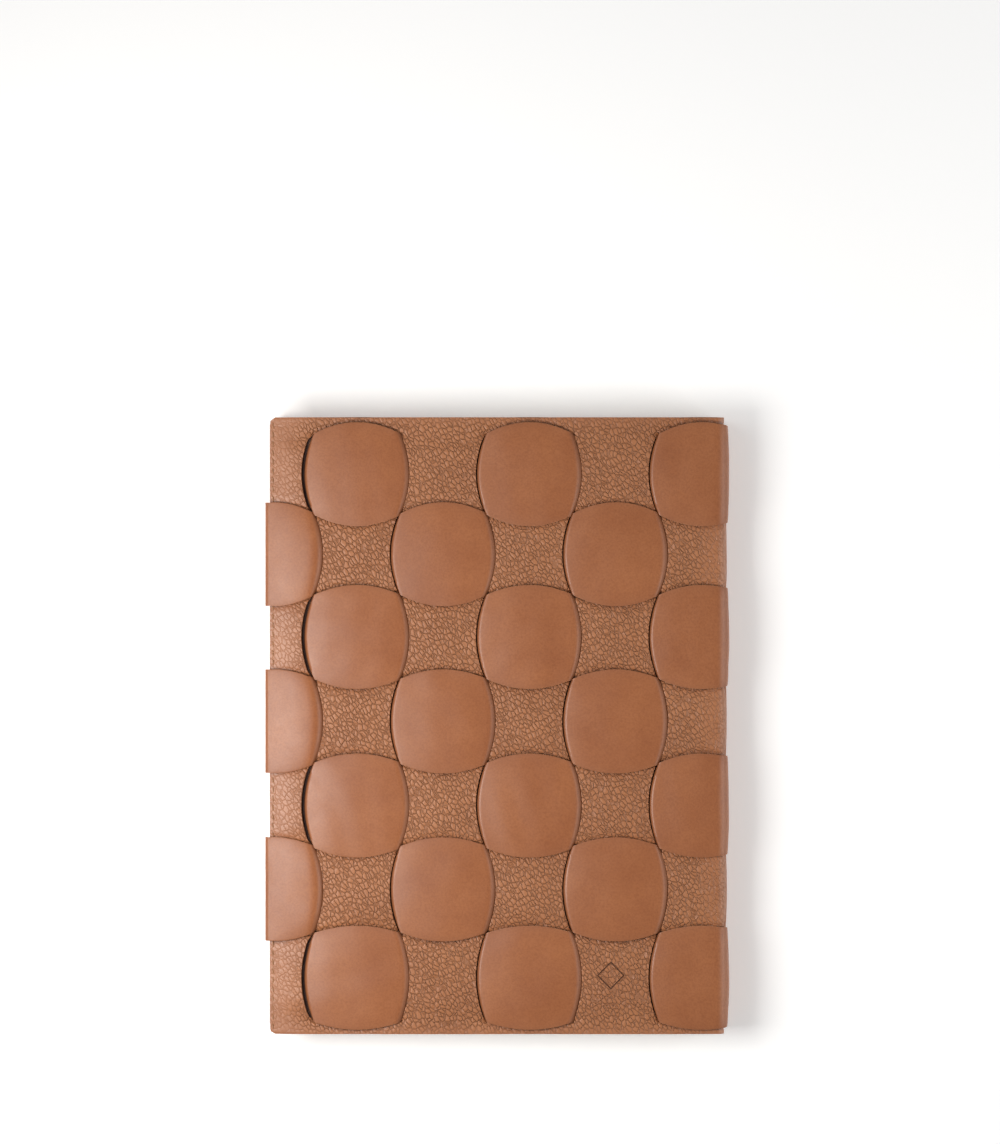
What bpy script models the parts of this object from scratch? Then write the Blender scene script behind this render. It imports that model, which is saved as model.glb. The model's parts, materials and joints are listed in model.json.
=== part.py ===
"""Woven leather notebook cover with its A5 refill, closed and lying on its back cover.

Metres, +Z up. The spine runs along +Y at the +X side and the front cover faces +Z. The origin is
under the middle of the closed cover, on the surface that it lies on.

The leather is one hide in life. Here it is three flat leaves (front, spine, back), each built in
its own leaf frame, so that every leaf turns about its fold:
    -X runs from the fold axis across the leaf, +Y along the fold, +Z to the leaf's outer side.
The depths below are measured from the middle of the panel's thickness, along the leaf's Z.
"""

import math

import bmesh
import bpy
from mathutils import Vector

MM = 0.001

# Driving dimensions: the refill that the cover is cut for.
PAGE_WIDTH = 148.0 * MM
PAGE_HEIGHT = 210.0 * MM
PAGES_THICK = 7.2 * MM
PAGE_CORNER = 2.5 * MM
CARD_THICK = 0.4 * MM

# Driving dimensions: the leather, its lining and its sleeves.
PANEL_THICK = 1.2 * MM
STRIP_THICK = 1.0 * MM
LINING_THICK = 0.6 * MM
SLEEVE_THICK = 0.6 * MM
FORE_OVERHANG = 7.6 * MM  # cover past the pages at the fore-edge
HEAD_OVERHANG = 3.5 * MM  # cover past the pages at head and tail
COVER_CORNER = 1.8 * MM
SLEEVE_WIDTH = 62.0 * MM
SLEEVE_RIM = 2.2 * MM  # stitched rim round three sides of a sleeve
LINING_INSET = 0.4 * MM

# Driving dimensions: the weave.
STRIP_COUNT = 7
SLITS_ACROSS = 5
HEAD_MARGIN = 5.1 * MM  # edge of the cover to the first strip's lane
FORE_MARGIN = 15.5 * MM  # fore-edge to the first slit
SPINE_MARGIN = 23.2 * MM  # outer side of the spine to the last slit
SLIT_WEB = 1.7 * MM  # leather left between the slits of two strips
SLIT_BOW = 3.1 * MM  # how far a slit bows out from its tile
TILE_SWELL = 4.8 * MM  # how far a tile's head and tail edges swell past its corners
RAMP_RUN = 1.6 * MM  # length over which a strip dives through its slit
EDGE_PROUD = 1.8 * MM  # how far a strip wrapped round the fore-edge stands out from it
TUCK_LENGTH = 9.0 * MM  # tail of a wrapped strip, under the panel
STRIP_INSET = 5.0 * MM  # end of a strip that stops short of the fore-edge

# Clearances.
CLEAR = 0.3 * MM
BUTT_CLEAR = 0.6 * MM  # between the spine panel and the cover panels that it butts against
FOLD_CLEAR = 0.5 * MM  # from a fold axis to the end of a strip on the outer side

# Segments.
ACROSS = 4  # across a strip, and along a slit
SWELL_STEPS = 4  # along a tile
WRAP_STEPS = 4  # round the fore-edge
CORNER_STEPS = 4  # round a corner

# Depths from the middle of a panel.
PANEL_FACE = PANEL_THICK / 2
STRIP_LEVEL = PANEL_FACE + CLEAR + STRIP_THICK / 2
STRIP_FACE = STRIP_LEVEL + STRIP_THICK / 2
LINING_LEVEL = STRIP_FACE + CLEAR + LINING_THICK / 2
LINING_FACE = LINING_LEVEL + LINING_THICK / 2
CARD_LEVEL = LINING_FACE + CLEAR + CARD_THICK / 2
CARD_FACE = CARD_LEVEL + CARD_THICK / 2
SLEEVE_LEVEL = CARD_FACE + CLEAR + SLEEVE_THICK / 2
SLEEVE_RIM_LEVEL = LINING_FACE + CLEAR + SLEEVE_THICK / 2
PAGES_FACE = SLEEVE_LEVEL + SLEEVE_THICK / 2 + CLEAR

# Distances from a fold axis, across a leaf.
PAGES_START = CARD_FACE + CLEAR
COVER_END = PAGES_START + PAGE_WIDTH + FORE_OVERHANG
COVER_HEIGHT = PAGE_HEIGHT + 2 * HEAD_OVERHANG
SPINE_WIDTH = 2 * PAGES_FACE + PAGES_THICK
FIRST_SLIT = SPINE_MARGIN - PANEL_FACE
SLIT_PITCH = (COVER_END - FORE_MARGIN - FIRST_SLIT) / (SLITS_ACROSS - 1)
COVER_SLITS = [FIRST_SLIT + i * SLIT_PITCH for i in range(SLITS_ACROSS)]
SPINE_SLIT = SPINE_WIDTH / 2

# The strips' lanes.
ROW_PITCH = (COVER_HEIGHT - 2 * HEAD_MARGIN) / STRIP_COUNT
SLIT_HALF_LENGTH = (ROW_PITCH - SLIT_WEB) / 2
STRIP_HALF_WIDTH = SLIT_HALF_LENGTH - CLEAR
RAMP_ANGLE = math.atan2(2 * STRIP_LEVEL, RAMP_RUN)
SLIT_HALF_WIDTH = (
    RAMP_RUN * PANEL_FACE / (2 * STRIP_LEVEL) + STRIP_THICK / 2 / math.sin(RAMP_ANGLE) + CLEAR
)

# Fold axes, in the world.
FOLD_X = (COVER_END + EDGE_PROUD - STRIP_FACE) / 2
BACK_Z = STRIP_FACE
FRONT_Z = BACK_Z + SPINE_WIDTH
PAGES_Z = (BACK_Z + FRONT_Z) / 2

FINISHES = {  # linear base colour, roughness
    "pebbled_leather": ((0.32, 0.14, 0.063), 0.55),
    "smooth_leather": ((0.41, 0.18, 0.08), 0.42),
    "lining_suede": ((0.30, 0.16, 0.085), 0.9),
    "sleeve_leather": ((0.32, 0.14, 0.063), 0.55),
    "refill_card": ((0.62, 0.52, 0.38), 0.8),
    "page_paper": ((0.88, 0.84, 0.74), 0.9),
}


def clear_scene():
    for obj in list(bpy.data.objects):
        bpy.data.objects.remove(obj, do_unlink=True)


def make_finish(name):
    colour, roughness = FINISHES[name]
    material = bpy.data.materials.new(name)
    material.use_nodes = True
    shader = material.node_tree.nodes["Principled BSDF"]
    shader.inputs["Base Color"].default_value = (*colour, 1)
    shader.inputs["Roughness"].default_value = roughness
    shader.inputs["Metallic"].default_value = 0
    return material


def make_leaf(collection, name, location, rotation=(0, 0, 0)):
    """An empty on a fold axis, which the leaf's pieces hang from."""
    leaf = bpy.data.objects.new(name, None)
    leaf.location = location
    leaf.rotation_euler = rotation
    collection.objects.link(leaf)
    return leaf


def add_piece(name, data, leaf, finish):
    """A new object in the leaf's frame, with its finish."""
    piece = bpy.data.objects.new(name, data)
    piece.parent = leaf
    data.materials.append(finish)
    leaf.users_collection[0].objects.link(piece)
    return piece


def arc(centre, radius, start, end, steps):
    """Points round an arc, angles in degrees."""
    angles = [math.radians(start + (end - start) * i / steps) for i in range(steps + 1)]
    return [(centre[0] + radius * math.cos(a), centre[1] + radius * math.sin(a)) for a in angles]


def leaf_outline(start, end, half_height, radius):
    """A leaf from start to end across, square at the fold and rounded at the far corners."""
    far = -end + radius
    outline = [(-start, -half_height), (-start, half_height)]
    if radius:
        outline += arc((far, half_height - radius), radius, 90, 180, CORNER_STEPS)
        outline += arc((far, radius - half_height), radius, 180, 270, CORNER_STEPS)
    else:
        outline += [(-end, half_height), (-end, -half_height)]
    return outline


def flat_sheet(name, leaf, finish, outlines, thickness, level):
    """Closed outlines filled and given a thickness. The first is the edge, the rest are holes."""
    curve = bpy.data.curves.new(name, "CURVE")
    curve.dimensions = "2D"
    curve.fill_mode = "BOTH"
    curve.extrude = thickness / 2
    for outline in outlines:
        spline = curve.splines.new("POLY")
        spline.points.add(len(outline) - 1)
        for point, (x, y) in zip(spline.points, outline):
            point.co = (x, y, 0, 1)
        spline.use_cyclic_u = True
    sheet = add_piece(name, curve, leaf, finish)
    sheet.location.z = level
    return sheet


def bent_sheet(name, leaf, finish, columns, rows, place, thickness):
    """A grid laid out by place(column, row), given a thickness about its middle."""
    mesh = bpy.data.meshes.new(name)
    bm = bmesh.new()
    bmesh.ops.create_grid(bm, x_segments=columns - 1, y_segments=rows - 1, size=1)
    for vert in bm.verts:
        column = round((vert.co.x + 1) / 2 * (columns - 1))
        row = round((vert.co.y + 1) / 2 * (rows - 1))
        vert.co = Vector(place(column, row))
    bm.to_mesh(mesh)
    bm.free()
    sheet = add_piece(name, mesh, leaf, finish)
    solidify = sheet.modifiers.new("thickness", "SOLIDIFY")
    solidify.thickness = thickness
    solidify.offset = 0
    solidify.solidify_mode = "NON_MANIFOLD"
    solidify.nonmanifold_thickness_mode = "CONSTRAINTS"
    return sheet


def row_centre(row):
    """Middle of a strip's lane along the fold. Row 1 is at the head."""
    return ((STRIP_COUNT + 1) / 2 - row) * ROW_PITCH


def over_at_front_fold(row):
    """The odd strips lie outside at the front fold, the even ones at the back fold."""
    return row % 2 == 1


def slit_outline(slit, bow, centre):
    """A slit that follows the curved end of its tile."""
    shares = [2 * i / ACROSS - 1 for i in range(ACROSS + 1)]
    near = [(slit + bow * (1 - q * q) - SLIT_HALF_WIDTH, centre + q * SLIT_HALF_LENGTH) for q in shares]
    far = [(slit + bow * (1 - q * q) + SLIT_HALF_WIDTH, centre + q * SLIT_HALF_LENGTH) for q in shares]
    return [(-u, v) for u, v in near + far[::-1]]


def slit_bow(index, over_first):
    """A slit bows away from its tile, which is the stretch of strip that lies outside."""
    tile_before = over_first == (index % 2 == 0)
    return SLIT_BOW if tile_before else -SLIT_BOW


def woven_panel(name, leaf, finish, start, end, radius, slits, over_first_rows, flip):
    outlines = [leaf_outline(start, end, COVER_HEIGHT / 2, radius)]
    for row in range(1, STRIP_COUNT + 1):
        centre = flip * row_centre(row)
        for i, slit in enumerate(slits):
            bow = slit_bow(i, row in over_first_rows)
            outlines.append(slit_outline(slit, bow, centre))
    return flat_sheet(name, leaf, finish, outlines, PANEL_THICK, 0)


def half_width(level, share):
    """Half width of a strip at a share of the way between two slits. It runs straight underneath."""
    swell = TILE_SWELL * 4 * share * (1 - share) if level > 0 else 0
    return STRIP_HALF_WIDTH + swell


def strip_stations(slits, limits, over_first, start, end):
    """Stations (u, bow, level, half width) of a strip from start to end across a leaf.

    limits are the slits just beyond the leaf's two ends, on the leaves next to it.
    """
    ends = [limits[0], *slits, limits[1]]
    stations = []
    for i, (low, high) in enumerate(zip(ends, ends[1:])):
        level = STRIP_LEVEL if over_first == (i % 2 == 0) else -STRIP_LEVEL
        if i > 0:
            stations.append((low + RAMP_RUN / 2, slit_bow(i - 1, over_first), level, STRIP_HALF_WIDTH))
        inner = [low + (high - low) * j / SWELL_STEPS for j in range(1, SWELL_STEPS)]
        places = [u for u in inner if start < u < end]
        if i == 0:
            places = [start, *places]
        if i == len(slits):
            places = [*places, end]
        stations += [(u, 0, level, half_width(level, (u - low) / (high - low))) for u in places]
        if i < len(slits):
            stations.append((high - RAMP_RUN / 2, slit_bow(i, over_first), level, STRIP_HALF_WIDTH))
    return stations


def wrap_stations(half):
    """Round the fore-edge and back under the panel, narrowing to clear the strips beside it."""
    centre = COVER_END + EDGE_PROUD - STRIP_THICK / 2 - STRIP_LEVEL
    turn = arc((centre, 0), STRIP_LEVEL, 90, -90, WRAP_STEPS)[1:]
    narrowing = (half - STRIP_HALF_WIDTH) / WRAP_STEPS
    stations = [(u, 0, w, half - narrowing * (i + 1)) for i, (u, w) in enumerate(turn)]
    return stations + [(COVER_END - TUCK_LENGTH, 0, -STRIP_LEVEL, STRIP_HALF_WIDTH)]


def woven_strip(name, leaf, finish, centre, stations):
    def place(column, row):
        u, bow, level, half = stations[column]
        q = 2 * row / ACROSS - 1
        return -(u + bow * (1 - q * q)), centre + q * half, level

    return bent_sheet(name, leaf, finish, len(stations), ACROSS + 1, place, STRIP_THICK)


def cover_strip(name, leaf, finish, row, over_first, flip):
    """A strip's length on the front or back cover, from the fold to the fore-edge."""
    start = FOLD_CLEAR if over_first else STRIP_FACE + CLEAR
    over_last = over_first == (SLITS_ACROSS % 2 == 0)
    end = COVER_END + EDGE_PROUD - STRIP_FACE if over_last else COVER_END - STRIP_INSET
    limits = (-SPINE_SLIT, 2 * COVER_END - COVER_SLITS[-1])
    stations = strip_stations(COVER_SLITS, limits, over_first, start, end)
    if over_last:
        stations += wrap_stations(stations[-1][3])
    woven_strip(name, leaf, finish, flip * row_centre(row), stations)


def spine_strip(name, leaf, finish, row, over_first):
    """A strip's length on the spine, from the back fold to the front fold."""
    under_start = PANEL_FACE + BUTT_CLEAR
    start = FOLD_CLEAR if over_first else under_start
    end = SPINE_WIDTH - (under_start if over_first else FOLD_CLEAR)
    limits = (-FIRST_SLIT, SPINE_WIDTH + FIRST_SLIT)
    stations = strip_stations([SPINE_SLIT], limits, over_first, start, end)
    woven_strip(name, leaf, finish, row_centre(row), stations)


def sleeve(name, leaf, finish):
    """A sleeve over the fore-edge end of the lining, lowered to it along its stitched rim."""
    half = COVER_HEIGHT / 2 - LINING_INSET
    end = COVER_END - LINING_INSET
    slope = SLEEVE_LEVEL - SLEEVE_RIM_LEVEL
    us = [end - SLEEVE_WIDTH, end - SLEEVE_RIM - slope, end - SLEEVE_RIM, end]
    top = [half - SLEEVE_RIM - slope, half - SLEEVE_RIM, half]
    vs = [-v for v in reversed(top)] + top

    def place(column, row):
        on_rim = column >= 2 or row in (0, 1, len(vs) - 2, len(vs) - 1)
        return -us[column], vs[row], -(SLEEVE_RIM_LEVEL if on_rim else SLEEVE_LEVEL)

    bent_sheet(name, leaf, finish, len(us), len(vs), place, SLEEVE_THICK)


def build_cover(side, leaf, finishes, over_first_rows, flip):
    """One cover: panel, strips, lining, sleeve and the refill's card tucked into the sleeve."""
    woven_panel(
        f"{side}_panel", leaf, finishes["pebbled_leather"], -PANEL_FACE, COVER_END,
        COVER_CORNER, COVER_SLITS, over_first_rows, flip,
    )
    for row in range(1, STRIP_COUNT + 1):
        cover_strip(
            f"strip_{row}_{side}", leaf, finishes["smooth_leather"], row,
            row in over_first_rows, flip,
        )
    lining = leaf_outline(
        LINING_FACE + CLEAR, COVER_END - LINING_INSET, COVER_HEIGHT / 2 - LINING_INSET, COVER_CORNER
    )
    flat_sheet(
        f"{side}_lining", leaf, finishes["lining_suede"], [lining], LINING_THICK, -LINING_LEVEL
    )
    sleeve(f"{side}_sleeve", leaf, finishes["sleeve_leather"])
    card = leaf_outline(PAGES_START, PAGES_START + PAGE_WIDTH, PAGE_HEIGHT / 2, PAGE_CORNER)
    flat_sheet(f"refill_{side}_card", leaf, finishes["refill_card"], [card], CARD_THICK, -CARD_LEVEL)


def build_spine(leaf, finishes, over_first_rows):
    """The spine: panel, strips, lining and the refill's spine card."""
    start = PANEL_FACE + BUTT_CLEAR
    woven_panel(
        "spine_panel", leaf, finishes["pebbled_leather"], start, SPINE_WIDTH - start,
        0, [SPINE_SLIT], over_first_rows, 1,
    )
    for row in range(1, STRIP_COUNT + 1):
        spine_strip(
            f"strip_{row}_spine", leaf, finishes["smooth_leather"], row, row in over_first_rows
        )
    start = STRIP_FACE + CLEAR
    lining = leaf_outline(start, SPINE_WIDTH - start, COVER_HEIGHT / 2 - LINING_INSET, 0)
    flat_sheet("spine_lining", leaf, finishes["lining_suede"], [lining], LINING_THICK, -LINING_LEVEL)
    start = LINING_FACE + CLEAR
    card = leaf_outline(start, SPINE_WIDTH - start, PAGE_HEIGHT / 2, 0)
    flat_sheet("refill_spine_card", leaf, finishes["refill_card"], [card], CARD_THICK, -CARD_LEVEL)


def page_half(name, leaf, finish, level):
    """Half of the sewn pages, hung from the fold that they turn about."""
    pages = leaf_outline(0, PAGE_WIDTH, PAGE_HEIGHT / 2, PAGE_CORNER)
    flat_sheet(name, leaf, finish, [pages], (PAGES_THICK - CLEAR) / 2, level)


def main():
    clear_scene()
    collection = bpy.data.collections.new("woven_notebook_cover")
    bpy.context.scene.collection.children.link(collection)
    finishes = {name: make_finish(name) for name in FINISHES}
    rows = range(1, STRIP_COUNT + 1)
    odd_rows = [row for row in rows if over_at_front_fold(row)]
    even_rows = [row for row in rows if not over_at_front_fold(row)]

    front = make_leaf(collection, "front_fold_axis", (FOLD_X, 0, FRONT_Z))
    back = make_leaf(collection, "back_cover_axis", (FOLD_X, 0, BACK_Z), (math.pi, 0, 0))
    spine = make_leaf(collection, "back_fold_axis", (FOLD_X, 0, BACK_Z), (0, math.pi / 2, 0))
    pages = make_leaf(collection, "page_turn_axis", (FOLD_X - PAGES_START, 0, PAGES_Z))

    build_cover("front", front, finishes, odd_rows, 1)
    build_cover("back", back, finishes, even_rows, -1)
    build_spine(spine, finishes, even_rows)
    level = (CLEAR + (PAGES_THICK - CLEAR) / 2) / 2
    page_half("pages_upper", pages, finishes["page_paper"], level)
    page_half("pages_lower", pages, finishes["page_paper"], -level)


main()
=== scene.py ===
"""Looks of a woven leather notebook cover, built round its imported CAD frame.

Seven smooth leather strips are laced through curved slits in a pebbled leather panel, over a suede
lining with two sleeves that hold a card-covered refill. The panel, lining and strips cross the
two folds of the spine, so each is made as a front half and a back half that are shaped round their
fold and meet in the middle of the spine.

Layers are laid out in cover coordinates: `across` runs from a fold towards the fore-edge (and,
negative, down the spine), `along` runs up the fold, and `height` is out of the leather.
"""

from __future__ import annotations

import json
import logging
import math
from dataclasses import dataclass
from enum import Enum

import bpy
import numpy as np
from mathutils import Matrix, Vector


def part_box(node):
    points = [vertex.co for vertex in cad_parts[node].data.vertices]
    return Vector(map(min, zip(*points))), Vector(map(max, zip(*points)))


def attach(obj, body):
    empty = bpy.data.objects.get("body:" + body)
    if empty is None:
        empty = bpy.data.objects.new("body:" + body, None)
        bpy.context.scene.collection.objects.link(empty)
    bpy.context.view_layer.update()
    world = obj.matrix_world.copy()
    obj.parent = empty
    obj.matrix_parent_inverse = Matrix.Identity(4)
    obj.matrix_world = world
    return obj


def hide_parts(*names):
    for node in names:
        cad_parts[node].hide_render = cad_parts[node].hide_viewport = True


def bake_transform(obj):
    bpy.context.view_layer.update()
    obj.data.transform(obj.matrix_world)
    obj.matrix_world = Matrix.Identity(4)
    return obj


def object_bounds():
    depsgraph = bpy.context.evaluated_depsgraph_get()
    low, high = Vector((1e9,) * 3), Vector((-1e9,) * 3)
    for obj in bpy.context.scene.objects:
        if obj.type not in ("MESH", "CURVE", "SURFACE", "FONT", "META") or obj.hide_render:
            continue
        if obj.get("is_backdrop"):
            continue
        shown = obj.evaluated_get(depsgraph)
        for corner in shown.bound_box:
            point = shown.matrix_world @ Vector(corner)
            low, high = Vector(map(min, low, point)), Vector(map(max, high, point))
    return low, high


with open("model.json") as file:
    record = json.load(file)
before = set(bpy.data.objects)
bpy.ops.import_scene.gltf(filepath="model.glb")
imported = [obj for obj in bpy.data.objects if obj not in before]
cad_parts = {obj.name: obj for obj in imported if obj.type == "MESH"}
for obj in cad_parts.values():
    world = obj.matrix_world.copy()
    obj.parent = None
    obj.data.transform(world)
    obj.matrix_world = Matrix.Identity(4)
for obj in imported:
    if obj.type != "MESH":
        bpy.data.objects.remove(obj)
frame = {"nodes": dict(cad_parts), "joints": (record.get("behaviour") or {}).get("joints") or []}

LOG = logging.getLogger("notebook_cover")
MM = 0.001
SEED = 11
Array = np.ndarray


class Side(Enum):
    """The two covers, with the sense of their outer side along Z."""

    FRONT = 1
    BACK = -1

    @property
    def word(self) -> str:
        """Name used in node names."""
        return self.name.lower()

    @property
    def body(self) -> str:
        """CAD body that the cover's pieces ride on."""
        return f"{self.word}_cover"


# ---------------------------------------------------------------- small tools


def smooth(value: Array, low: float, high: float) -> Array:
    """Rises smoothly from 0 at low to 1 at high.

    Args:
        value: Values to read.
        low: Where the rise starts.
        high: Where it ends.

    Returns:
        Shares from 0 to 1, in value's shape.
    """
    share = np.clip((np.asarray(value, float) - low) / (high - low), 0, 1)
    return share * share * (3 - 2 * share)


def graded(length: float, fine: float, coarse: float, growth: float = 1.3) -> Array:
    """Shares of a length, close together at both ends and wider in the middle.

    Args:
        length: Length to share out.
        fine: First and last step.
        coarse: Widest step.
        growth: Ratio of each step to the one before it.

    Returns:
        Rising shares from 0 to 1.
    """
    steps = [0.0]
    step = fine
    while steps[-1] + step < length / 2:
        steps.append(steps[-1] + step)
        step = min(step * growth, coarse)
    half = np.array(steps) / length
    inner = half if 0.5 - half[-1] > 0.2 * step / length else half[:-1]
    return np.concatenate([inner, [0.5], 1 - inner[::-1]])


def ripple(across: Array, along: Array, reach: float, seed: int) -> Array:
    """Slow uneven waves, as leather has that has been handled.

    Args:
        across: Places across the cover.
        along: Places along the fold.
        reach: Typical wavelength.
        seed: Seed of the waves' directions and phases.

    Returns:
        Heights from about -1 to 1.
    """
    random = np.random.default_rng(SEED + seed)
    total = np.zeros(np.broadcast(across, along).shape)
    waves = 7
    for _ in range(waves):
        angle, phase = random.uniform(0, 2 * math.pi, 2)
        number = 2 * math.pi / (reach * random.uniform(0.6, 1.6))
        total += np.sin(number * (across * math.cos(angle) + along * math.sin(angle)) + phase)
    return total / math.sqrt(waves)


def select_only(obj: bpy.types.Object) -> None:
    """Makes obj the only selected and the active object.

    Args:
        obj: Object to select.
    """
    bpy.ops.object.select_all(action="DESELECT")
    obj.select_set(True)
    bpy.context.view_layer.objects.active = obj


def settle(obj: bpy.types.Object) -> None:
    """Applies obj's place, turn and scale to its mesh."""
    select_only(obj)
    bpy.ops.object.transform_apply(location=True, rotation=True, scale=True)


def apply_modifier(obj: bpy.types.Object, kind: str, **settings: object) -> None:
    """Adds a modifier and applies it.

    Args:
        obj: Object to change.
        kind: Modifier type.
        **settings: Its properties.
    """
    select_only(obj)
    modifier = obj.modifiers.new(kind.lower(), kind)
    for key, value in settings.items():
        setattr(modifier, key, value)
    bpy.ops.object.modifier_apply(modifier=modifier.name)


def grid_piece(name: str, places: Array) -> bpy.types.Object:
    """A grid primitive with its points laid out.

    Args:
        name: Piece name.
        places: Points as an array of rows, columns and coordinates.

    Returns:
        The open sheet.
    """
    rows, columns = places.shape[:2]
    bpy.ops.object.select_all(action="DESELECT")
    bpy.ops.mesh.primitive_grid_add(x_subdivisions=columns - 1, y_subdivisions=rows - 1, size=1)
    sheet = bpy.context.object
    sheet.name = sheet.data.name = name
    sheet.data.vertices.foreach_set("co", places.astype(np.float32).ravel())
    sheet.data.update()
    return sheet


def paint(obj: bpy.types.Object, name: str, values: Array) -> None:
    """Stores a value at each of the mesh's points, for its finish to read.

    Args:
        obj: Mesh object.
        name: Attribute name.
        values: One value a point.
    """
    attribute = obj.data.attributes.new(name, "FLOAT", "POINT")
    attribute.data.foreach_set("value", np.asarray(values, np.float32).ravel())


def drop_cells(obj: bpy.types.Object, cells: Array) -> None:
    """Deletes faces of a grid piece, which opens slits in it.

    Args:
        obj: Grid piece, as it was made.
        cells: True for each face to delete, in rows and columns.
    """
    select_only(obj)
    bpy.ops.object.mode_set(mode="EDIT")
    bpy.ops.mesh.select_mode(type="FACE")
    bpy.ops.mesh.select_all(action="DESELECT")
    bpy.ops.object.mode_set(mode="OBJECT")
    obj.data.polygons.foreach_set("select", cells.ravel())
    bpy.ops.object.mode_set(mode="EDIT")
    bpy.ops.mesh.delete(type="FACE")
    bpy.ops.object.mode_set(mode="OBJECT")


def thicken(
    obj: bpy.types.Object,
    face: bpy.types.Material,
    edge: bpy.types.Material,
    thickness: float,
    soften: float,
) -> None:
    """Turns an open sheet into a closed hide with softened cut edges.

    Args:
        obj: Open sheet, which becomes the middle of the hide.
        face: Finish of the hide.
        edge: Finish of its cut edges.
        thickness: Thickness of the hide.
        soften: Width of the softened edge.
    """
    obj.data.materials.append(face)
    obj.data.materials.append(edge)
    apply_modifier(
        obj, "SOLIDIFY", thickness=thickness, offset=0, use_rim=True, material_offset_rim=1
    )
    apply_modifier(
        obj, "BEVEL", width=soften, segments=2, limit_method="ANGLE",
        angle_limit=math.radians(60), use_clamp_overlap=True, material=1,
    )
    select_only(obj)
    bpy.ops.object.mode_set(mode="EDIT")
    bpy.ops.mesh.select_all(action="SELECT")
    bpy.ops.mesh.remove_doubles(threshold=1e-6)
    bpy.ops.mesh.normals_make_consistent(inside=False)
    bpy.ops.object.mode_set(mode="OBJECT")
    bpy.ops.object.shade_smooth_by_angle(angle=math.radians(50))


# ---------------------------------------------------------------- finishes


def linear(code: str) -> tuple[float, float, float, float]:
    """Linear colour of an sRGB hex value.

    Args:
        code: Six hex digits after a hash.

    Returns:
        Red, green, blue and alpha.
    """
    parts = [int(code[i : i + 2], 16) / 255 for i in (1, 3, 5)]
    red, green, blue = (p / 12.92 if p <= 0.04045 else ((p + 0.055) / 1.055) ** 2.4 for p in parts)
    return red, green, blue, 1.0


def feed(node: bpy.types.Node, inputs: dict[str | int, object]) -> None:
    """Sets and links a node's inputs.

    Args:
        node: Node to feed.
        inputs: Values, output sockets, or nodes for their main output, by input name or number.
    """
    for key, value in inputs.items():
        if isinstance(value, bpy.types.Node):
            value = value.outputs[2 if value.bl_idname == "ShaderNodeMix" else 0]
        if isinstance(value, bpy.types.NodeSocket):
            node.id_data.links.new(value, node.inputs[key])
        else:
            node.inputs[key].default_value = value


def add_node(
    tree: bpy.types.NodeTree,
    kind: str,
    inputs: dict[str | int, object] | None = None,
    stops: dict[float, str] | None = None,
    **settings: object,
) -> bpy.types.Node:
    """Adds a node with its settings and links.

    Args:
        tree: Node tree.
        kind: Node type, without its ShaderNode prefix.
        inputs: What feeds it, as in feed.
        stops: A colour ramp's hex colours, by place.
        **settings: The node's properties.

    Returns:
        The node.
    """
    made = tree.nodes.new(f"ShaderNode{kind}")
    for key, value in settings.items():
        setattr(made, key, value)
    feed(made, inputs or {})
    for number, (place, code) in enumerate((stops or {}).items()):
        elements = made.color_ramp.elements
        element = elements[number] if number < len(elements) else elements.new(place)
        element.position = place
        element.color = linear(code)
    return made


def new_finish(name: str, values: dict[str, object]) -> tuple[bpy.types.Material, bpy.types.Node]:
    """A material with an untextured shader.

    Args:
        name: Material name.
        values: The shader's own socket values.

    Returns:
        The material and its shader node.
    """
    material = bpy.data.materials.new(name)
    material.use_nodes = True
    shader = material.node_tree.nodes["Principled BSDF"]
    feed(shader, values)
    return material, shader


def per_size(size: tuple[float, ...]) -> tuple[float, ...]:
    """Mapping scale that makes one unit of a pattern as big as size."""
    return tuple(1 / part for part in size)


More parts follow.
